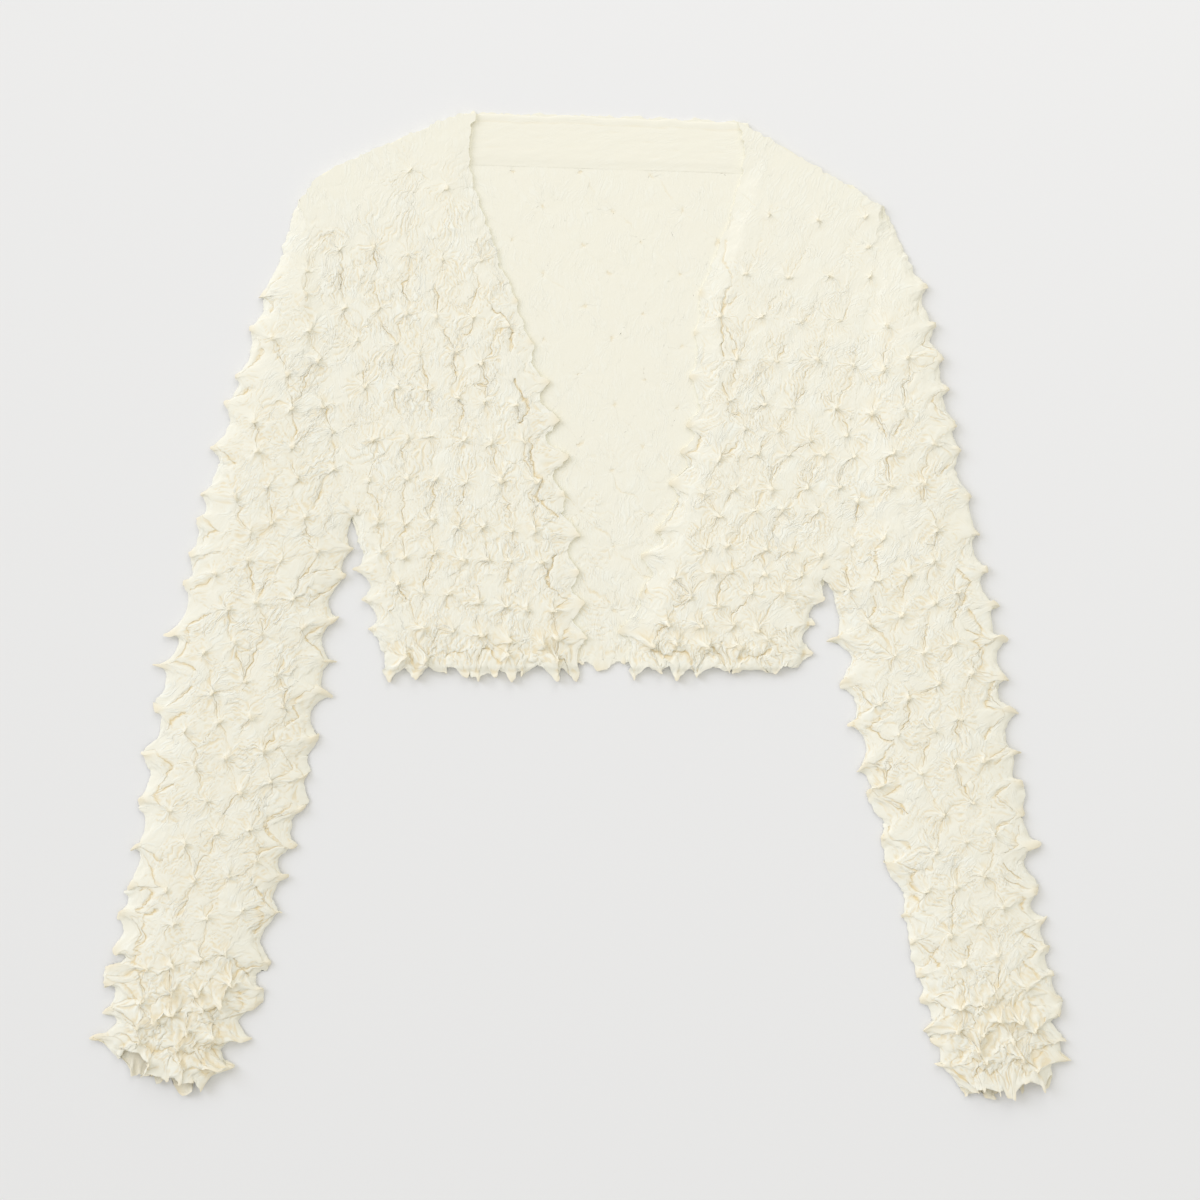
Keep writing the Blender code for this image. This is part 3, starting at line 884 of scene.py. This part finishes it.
def build_band(cell=0.9):
    """The plain band inside the back neck, with a rolled upper edge."""
    across, down, turned = sheet_grid(int(BAND_SIZE[0] / cell), int(BAND_SIZE[1] / cell))
    drop = BAND_SIZE[1] * down
    neck_y = NECK["left"][1] + (NECK["right"][1] - NECK["left"][1]) * across
    left = line_x(FRONT_EDGE["left"], NECK["left"][1] - drop) - BAND_TUCK
    right = line_x(FRONT_EDGE["right"], NECK["right"][1] - drop) + BAND_TUCK
    x = left + (right - left) * across
    y = neck_y - 1 - drop + 0.7 * ripple(x, 0 * drop, 24, BAND_SEED + 3) * (1 - down)
    creases = 0.04 * ripple(x * 0.3, y, 9, BAND_SEED + 1) + 0.03 * ripple(x * 0.4, y, 4, BAND_SEED + 2)
    roll = 0.15 * bell(drop - 1.8, 1.4) - 0.08 * bell(drop - 4.6, 1.1)
    thin = BAND_THIN * smooth(BAND_SIZE[1] - 6, BAND_SIZE[1], drop)
    height = BAND_TOP + creases + roll - thin
    points = np.stack([x, y, height], axis=-1)
    half = turned / 2
    points[..., 2] = points[..., 2] * (1 - half) + BAND_BOTTOM * half
    points = roll_rim(points, 0.3)
    flow = np.stack([x / 8, y / 8, x / 40], axis=-1)
    lying = lie(x, y, BAND_TILT, BAND_SEED)
    values = readings(points, flow, 0 * x, 1 - half, lying, LINK_REACH + 0 * x, 0 * x, BAND_FINE)
    return skin("neck_band", points, values)


# --- Sleeves ---


SLEEVE_LENGTH = 560  # for its grid
GAPE = 0.013  # how far the left cuff's upper layer is drawn back, as a share of the sleeve's length
RIM_LEAST, UNDERSIDE = 1.2, 0.2  # the edge's top at the shoulder, and the height of the sleeve's underside
# Where a sleeve changes, from and to: above the underarm, in its width, and in shares of its length.
JOINED = (-8, 4)  # joined to the front
FULL = (4, 50)  # of full height
CRUMPLED = (0.82, 0.93)
LOWER_SHOWS = (0.955, 0.98)  # the lower layer, inside the cuff
HIDDEN = (0.975, 0.94)  # the inner face, further in than the cuff
CUFF_SHADE, SHADE_LEAST = (0.9, 0.96), 0.45  # the painted shade inside the cuff, and the least of it


def build_sleeve(hand, thorns, cell=0.9):
    """A flattened tube with an inner face, open at the armhole and at the cuff."""
    seed = CLOTH_SEED[hand]
    over = int(SLEEVE_WIDTH / cell)
    edge_steps = 4
    beneath = np.linspace(0, 1, 34)
    half_turn = np.linspace(0, np.pi, edge_steps + 2)[1:-1]
    side = np.ones(edge_steps)
    across = np.concatenate([np.linspace(0, 1, over + 1), side, beneath[::-1], 0 * side, [0]])
    turn = np.concatenate([np.zeros(over + 1), half_turn, np.full(len(beneath), np.pi), half_turn[::-1], [0]])
    fold_side = np.concatenate([np.zeros(over + 1), side, np.zeros(len(beneath)), -side, [0]])

    rows = int(SLEEVE_LENGTH / cell)
    inner_down = np.concatenate([np.linspace(1, 0.95, 26), np.linspace(0.93, 0, 24)])
    down = np.concatenate([np.linspace(0, 1, rows + 1), inner_down, [0]])
    inside = np.concatenate([np.zeros(rows + 1), np.ones(len(inner_down)), [0]])
    across, turn, fold_side = across[None, :], turn[None, :], fold_side[None, :]
    down, inside = down[:, None], inside[:, None]
    upper = 0.5 + 0.5 * np.cos(turn)
    if hand == "left":  # its cuff gapes: the upper layer is drawn back from the lower one
        gape = GAPE * smooth(0.55, 0.72, across) * smooth(1, 0.9, across)
        down = down - gape * upper * smooth(0.8, 1, down)

    inner_x, inner_y = sleeve_point(hand, 0 * across, down)
    fold_x, fold_y = sleeve_point(hand, 1 + 0 * across, down)
    width = np.hypot(fold_x - inner_x, fold_y - inner_y)
    joined = smooth(*JOINED, inner_y - UNDERARM_Y[hand])
    full = smooth(*FULL, width)
    at_underarm = smooth(UNDERARM_Y[hand] - 45, UNDERARM_Y[hand], inner_y) * (1 - across)
    rim = SEAM_TOP + (FOLD_TOP[hand] - SEAM_TOP) * across
    rim_top = RIM_LEAST + (rim + (UNDERARM_TOP - rim) * at_underarm - RIM_LEAST) * full
    inset = np.minimum((rim_top - UNDERSIDE) / 2, width / 3) / width
    first = inset * (1 - joined)
    rounded = np.where(fold_side > 0, inset, first) * np.sin(turn) * fold_side
    share = first + (1 - first - inset) * across + rounded
    hidden = inside * smooth(*HIDDEN, down)
    share = share + (0.5 - share) * np.minimum((2 * CLOTH + 9 * hidden) / width, 0.6) * inside
    lip = joined * (across == 0) * (turn == 0)  # a narrow edge that lies over the front and hides the seam
    share = share - lip * LIP / width
    x = inner_x + (fold_x - inner_x) * share
    y = inner_y + (fold_y - inner_y) * share
    level = rim_top + (FRONT_TOP - rim_top) * joined * (1 - across)
    crown = 1 - (2 * across - 1) ** 4
    from_front = smooth(0, 0.45, across)
    crown = np.where(across < 0.5, crown + (from_front - crown) * joined, crown)
    loft = (SLEEVE_TOP - level) * full * crown * (turn == 0) - 0.3 * lip
    # The inner face is smooth further in than the cuff, and the two faces are further apart there.
    gap = inside * CLOTH * (1 + 0.8 * hidden)
    z = UNDERSIDE + (level - UNDERSIDE) * upper + loft + gap * np.where(turn > np.pi / 2, 1, -1)

    own, field, links = thorns
    cover = np.maximum(full, joined * smooth(0.6, 0, across)) * upper
    rough = smooth(*CRUMPLED, down) + 0 * x
    height, far, crease = relief(x, y, links, sleeve_creases(hand), seed, CLOTH_DOME, rough, cut=0.7)
    lower = smooth(*LOWER_SHOWS, down) * (1 - upper)
    height = height * np.maximum(cover, lower) * calm(hand, y) * (1 - hidden)
    over_x, over_y, over_lift, gathered = press_thorns(x, y, own["sleeve"], "over")
    under_x, under_y, under_lift, _ = press_thorns(x, y, own["sleeve"], "under")
    new_x = under_x + (over_x - under_x) * upper
    new_y = under_y + (over_y - under_y) * upper
    new_x, new_y = new_x + (x - new_x) * hidden, new_y + (y - new_y) * hidden
    new_x, new_y = crinkled(x, y, new_x, new_y, seed, rough)
    lift = (under_lift + (over_lift - under_lift) * upper) * (1 - hidden)
    points = np.stack([new_x, new_y, z + height * (1 - gathered) + lift], axis=-1)
    strength = (1 - inside) * cover * calm(hand, y)
    points, flow = pleat(points, x, y, field, seed, gathered, strength)
    points[..., 2] = np.maximum(points[..., 2], 0.02)
    points[-1] = points[0]
    points[:, -1] = points[:, 0]
    flat = (1 - inside) * (turn == 0)
    lying = lie(x, y, SLEEVE_TILT[hand], seed)
    crease = crease * cover * calm(hand, y)
    values = readings(points, flow, gathered, flat, lying, far, crease, calm_fine(calm(hand, y)))
    # Inside the cuff, shade is painted warm, as the light that goes from one layer to the other leaves it in
    # a fold.
    shade = SHADE_LEAST * inside * smooth(*CUFF_SHADE, down)
    values["folds"][..., 0] = np.maximum(values["folds"][..., 0], shade)
    return skin(hand + "_sleeve", points, values, tube=True)


# --- Materials ---


def linear(hex_colour):
    """A linear colour from an sRGB hex one."""
    parts = [int(hex_colour[k : k + 2], 16) / 255 for k in (1, 3, 5)]
    return (*[p / 12.92 if p <= 0.04045 else ((p + 0.055) / 1.055) ** 2.4 for p in parts], 1)


def add(tree, kind, links=(), **settings):
    """Adds a shader node with its settings (in_X sets input X) and links (input, from node, its output)."""
    node = tree.nodes.new("ShaderNode" + kind)
    for key, value in settings.items():
        if key.startswith("in_"):
            name = key[3:].replace("_", " ")
            node.inputs[int(name) if name.isdigit() else name].default_value = value
        else:
            setattr(node, key, value)
    for target, source, output in links:
        tree.links.new(source.outputs[output], node.inputs[target])
    return node


def new_material(name, **settings):
    """A material, with its shader's settings, and the shader."""
    material = bpy.data.materials.new(name)
    material.use_nodes = True
    shader = material.node_tree.nodes["Principled BSDF"]
    for key, value in settings.items():
        shader.inputs[key.replace("_", " ")].default_value = value
    return material, shader


FINE_WAY = (0.6, 0.07, 0)  # per mm: the open cloth's fine creases are 1.7 mm apart and 14 mm long
STAR_WAY = (3, 3, 1)  # those near a thorn are a third of its distance apart
WAVER_WAY, WAVER = (0.1, 0.28, 0), 5  # the long creases waver by about 1 mm
FURROW_STEP = 1.2  # half of how far apart the long creases lie
GRAIN_SCALE = 830  # per metre: the yarn's grain, near 0.5 mm on the real one, is drawn at 1.2 mm to show
PATCH_SCALE = 50  # per metre: the fine creases come and go over 2 cm
BUMP = 0.3 * MM  # the relief that is too fine for the mesh. The heights that follow are shares of it.
FINE_HEIGHT, BROAD_HEIGHT, GRAIN_HEIGHT, FURROW_HEIGHT = 0.65, 0.5, 0.19, -0.9
HOLLOW_SHADE, CRACK_SHADE, TIP_SHADE, FURROW_SHADE = 0.32, 0.12, 0.2, 0.3  # how much painted shade each has


def crepe(name, ivory, shade):
    """Polyester crepe, heat-set in pleats.

    Woven of twisted yarn, so it is matt with an uneven grain. Fine creases run along the pleats. Shade is
    painted warm into its colour, as the light that goes from fold to fold leaves it: in hollows, along the
    creases and at the thorns' tips.
    """
    settings = {"Roughness": 0.8, "Specular_IOR_Level": 0.25, "Sheen_Weight": 0.1, "Sheen_Roughness": 0.5}
    material, shader = new_material(name, **settings)
    tree = material.node_tree

    flow = add(tree, "Attribute", attribute_name="flow")
    folds = add(tree, "Attribute", attribute_name="folds")
    folds = add(tree, "SeparateXYZ", [(0, folds, "Vector")])
    hollow_shade, gathered, creased = 0, 1, 2
    lying = add(tree, "Attribute", attribute_name="creases")
    far = add(tree, "SeparateXYZ", [(0, lying, "Vector")])
    place = add(tree, "TexCoord")

    # Fine creases, upright or slanting in the open cloth, and out from the thorns near them.
    open_way = add(tree, "VectorMath", [(0, lying, "Vector")], operation="MULTIPLY", in_1=FINE_WAY)
    open_lines = add(tree, "TexNoise", [("Vector", open_way, 0)], in_Scale=1, in_Detail=2, in_Distortion=0.15)
    star_way = add(tree, "VectorMath", [(0, flow, "Vector")], operation="MULTIPLY", in_1=STAR_WAY)
    star_lines = add(tree, "TexNoise", [("Vector", star_way, 0)], in_Scale=1, in_Detail=1.5)
    near_thorn = add(tree, "MapRange", [("Value", folds, gathered)], in_1=0.05, in_2=0.4)
    sources = [("Factor", near_thorn, 0), (2, open_lines, "Fac"), (3, star_lines, "Fac")]
    lines = add(tree, "Mix", sources, data_type="FLOAT")
    offset = add(tree, "Math", [(0, lines, 0)], operation="SUBTRACT", in_1=0.5)
    offset = add(tree, "Math", [(0, offset, 0)], operation="ABSOLUTE")
    lobe = add(tree, "MapRange", [("Value", offset, 0)], in_1=0, in_2=0.16, interpolation_type="SMOOTHSTEP")

    # Long creases, two or three side by side.
    waver_way = add(tree, "VectorMath", [(0, lying, "Vector")], operation="MULTIPLY", in_1=WAVER_WAY)
    waver = add(tree, "TexNoise", [("Vector", waver_way, 0)], in_Scale=1, in_Detail=2)
    wavered = add(tree, "Math", [(0, waver, "Fac"), (2, far, 2)], operation="MULTIPLY_ADD", in_1=WAVER)
    ridges = add(tree, "Math", [(0, wavered, 0)], operation="PINGPONG", in_1=FURROW_STEP)
    ridge = add(tree, "MapRange", [("Value", ridges, 0)], in_1=0, in_2=0.5, interpolation_type="SMOOTHSTEP")
    furrow = add(tree, "Math", [(1, ridge, 0)], operation="SUBTRACT", in_0=1)
    furrow = add(tree, "Math", [(0, furrow, 0), (1, folds, creased)], operation="MULTIPLY")

    grain = add(tree, "TexNoise", [("Vector", place, "Object")], in_Scale=GRAIN_SCALE, in_Detail=1)
    fine = add(tree, "Math", [(0, lobe, 0)], operation="MULTIPLY", in_1=FINE_HEIGHT)
    broad = add(tree, "Math", [(0, lines, 0), (2, fine, 0)], operation="MULTIPLY_ADD", in_1=BROAD_HEIGHT)
    # At a thorn's tip the pleats run together, so the creases fade there. They also fade in patches, and
    # where the cloth is drawn flat.
    open_cloth = add(tree, "MapRange", [("Value", folds, gathered)], in_1=0.75, in_2=0.35)
    patches = add(tree, "TexNoise", [("Vector", place, "Object")], in_Scale=PATCH_SCALE, in_Detail=1)
    patches = add(tree, "MapRange", [("Value", patches, "Fac")], in_1=0.38, in_2=0.62, in_3=0.3)
    open_cloth = add(tree, "Math", [(0, open_cloth, 0), (1, patches, 0)], operation="MULTIPLY")
    depth = add(tree, "Attribute", attribute_name="fine")
    open_cloth = add(tree, "Math", [(0, open_cloth, 0), (1, depth, "Fac")], operation="MULTIPLY")
    height = add(tree, "Math", [(0, broad, 0), (1, open_cloth, 0)], operation="MULTIPLY")
    for source, share in ((grain, GRAIN_HEIGHT), (furrow, FURROW_HEIGHT)):
        height = add(tree, "Math", [(0, source, 0), (2, height, 0)], operation="MULTIPLY_ADD", in_1=share)
    bump = add(tree, "Bump", [("Height", height, 0)], in_Strength=1, in_Distance=BUMP)

    # Painted shade in the hollows.
    painted_hollow_shade = add(tree, "MapRange", [("Value", folds, hollow_shade)], in_1=0.1, in_2=1)
    # Painted shade in the valleys of the fine creases, and evenly where they fade.
    crease_shade = add(tree, "Math", [(0, lobe, 0), (1, open_cloth, 0)], operation="MULTIPLY")
    crease_shade = add(tree, "Math", [(0, crease_shade, 0)], operation="MULTIPLY_ADD", in_1=-CRACK_SHADE, in_2=CRACK_SHADE)
    # Painted shade at a thorn's tip.
    tip_shade = add(tree, "MapRange", [("Value", folds, gathered)], in_1=0.55, in_2=0.95, in_4=TIP_SHADE)
    shaded = add(tree, "Math", [(0, painted_hollow_shade, 0), (2, crease_shade, 0)], operation="MULTIPLY_ADD", in_1=HOLLOW_SHADE)
    shaded = add(tree, "Math", [(0, shaded, 0), (1, tip_shade, 0)], operation="ADD")
    # Painted shade in the long creases.
    shaded = add(tree, "Math", [(0, furrow, 0), (2, shaded, 0)], operation="MULTIPLY_ADD", in_1=FURROW_SHADE)
    colours = {"in_6": linear(ivory), "in_7": linear(shade)}
    mix = add(tree, "Mix", [("Factor", shaded, 0)], data_type="RGBA", **colours)
    tree.links.new(mix.outputs[2], shader.inputs["Base Color"])
    tree.links.new(bump.outputs[0], shader.inputs["Normal"])
    return material


# --- Scene ---


PHOTO_SIDE = 0.768  # the photo's 1200 pixels, at 0.64 mm
PHOTO_CENTRE = (8.64 * MM, 4.16 * MM)
LENS, SENSOR = 85, 36  # in mm
FLOOR_SIZE = 12
WINDOW_ANGLE = 36  # degrees: a large window, far enough away to light the floor evenly
LAMP_SIZE = 1.4
ROOM_LIGHT, ROOM_COLOUR = 0.745, (0.99, 0.98, 0.935, 1)


def build_stage():
    """A matt white paper surface, a window high on the left, and the camera straight above."""
    floor_mesh = bpy.data.meshes.new("surface")
    bm = bmesh.new()
    bmesh.ops.create_grid(bm, x_segments=1, y_segments=1, size=FLOOR_SIZE)
    bm.to_mesh(floor_mesh)
    bm.free()
    floor_mesh.materials.append(new_material("matt_paper", Base_Color=linear("#EBEBEB"), Roughness=0.9)[0])
    put("surface", floor_mesh)

    for name, kind, place, strength, colour in (
        ("window", "SUN", (-3.4, 1.8, 2.4), 0.9, (0.97, 1, 1.16)),  # sky light, a little blue
        ("ceiling_lamp", "AREA", (0.3, 1.7, 1.4), 9.2, (1, 0.99, 0.98)),
    ):
        light = bpy.data.lights.new(name, kind)
        light.energy = strength
        light.color = colour
        if kind == "SUN":
            light.angle = np.radians(WINDOW_ANGLE)
        else:
            light.size = LAMP_SIZE
        lamp = put(name, light)
        lamp.location = place
        lamp.rotation_euler = (-lamp.location).to_track_quat("-Z", "Y").to_euler()

    world = bpy.data.worlds.new("room")
    world.use_nodes = True
    for key, value in enumerate((ROOM_COLOUR, ROOM_LIGHT)):
        world.node_tree.nodes["Background"].inputs[key].default_value = value
    bpy.context.scene.world = world
    bpy.context.scene.view_settings.view_transform = "Standard"

    camera = put("camera", bpy.data.cameras.new("camera"))
    camera.data.lens = LENS
    camera.data.sensor_width = SENSOR
    camera.location = (*PHOTO_CENTRE, PHOTO_SIDE * LENS / SENSOR)
    bpy.context.scene.camera = camera


build_stage()
# The second colour is the painted shade of the hollows, creases and thorn tips.
cloth = crepe("polyester_crepe", "#F4F4E9", "#E4C67F")
left_thorns, right_thorns = all_thorns("left"), all_thorns("right")
# Each piece with its CAD node, its slot, its cut in metres, as pleated, and what it lies on. A sleeve's cut
# goes all round it.
made = [
    (build_back(), "back", "back_cloth", (0.371, 0.364), "surface"),
    (build_band(), "back_neck_band", "band_cloth", (0.17, 0.032), "back_panel"),
    (build_front("left", left_thorns), "front_left", "front_cloth", (0.178, 0.36), "back_panel"),
    (build_front("right", right_thorns), "front_right", "front_cloth", (0.165, 0.35), "back_panel"),
    (build_sleeve("left", left_thorns), "sleeve_left", "sleeve_cloth", (0.2, 0.57), "surface"),
    (build_sleeve("right", right_thorns), "sleeve_right", "sleeve_cloth", (0.2, 0.57), "surface"),
]
for piece, node, slot, cut, support in made:
    piece.data.materials.append(cloth)
    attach(piece, "root")
    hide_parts(node)
